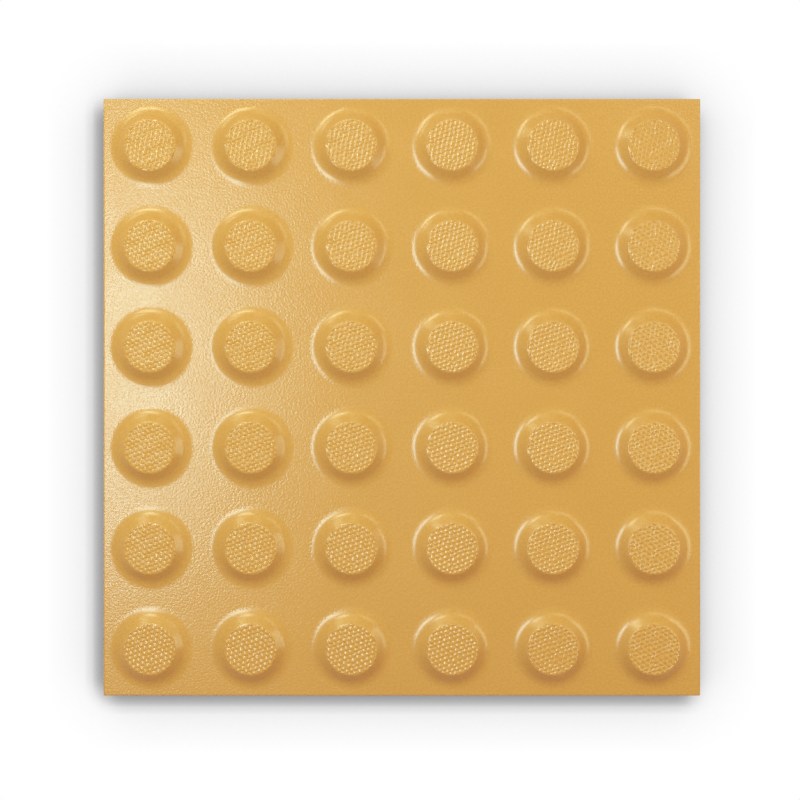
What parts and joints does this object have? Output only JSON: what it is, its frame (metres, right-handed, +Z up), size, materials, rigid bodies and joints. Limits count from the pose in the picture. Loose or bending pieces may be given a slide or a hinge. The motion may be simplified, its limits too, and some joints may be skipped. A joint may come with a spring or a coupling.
{
  "type": "tactile paving slab",
  "caption": "Square ceramic paving slab with a grid of flat-topped domes, laid flat as a walking-surface warning that is felt underfoot.",
  "frame": {"origin": "centre of the flat bedding face, which lies on the ground", "axes": "+Z up through the deck and the domes' treads; X and Y along the slab's two equal sides"},
  "size_m": [0.298, 0.298, 0.0195],
  "materials": {
    "ochre_ceramic": "satin"
  },
  "bodies": {
    "root": {"tactile_slab": "ochre_ceramic"}
  },
  "joints": []
}
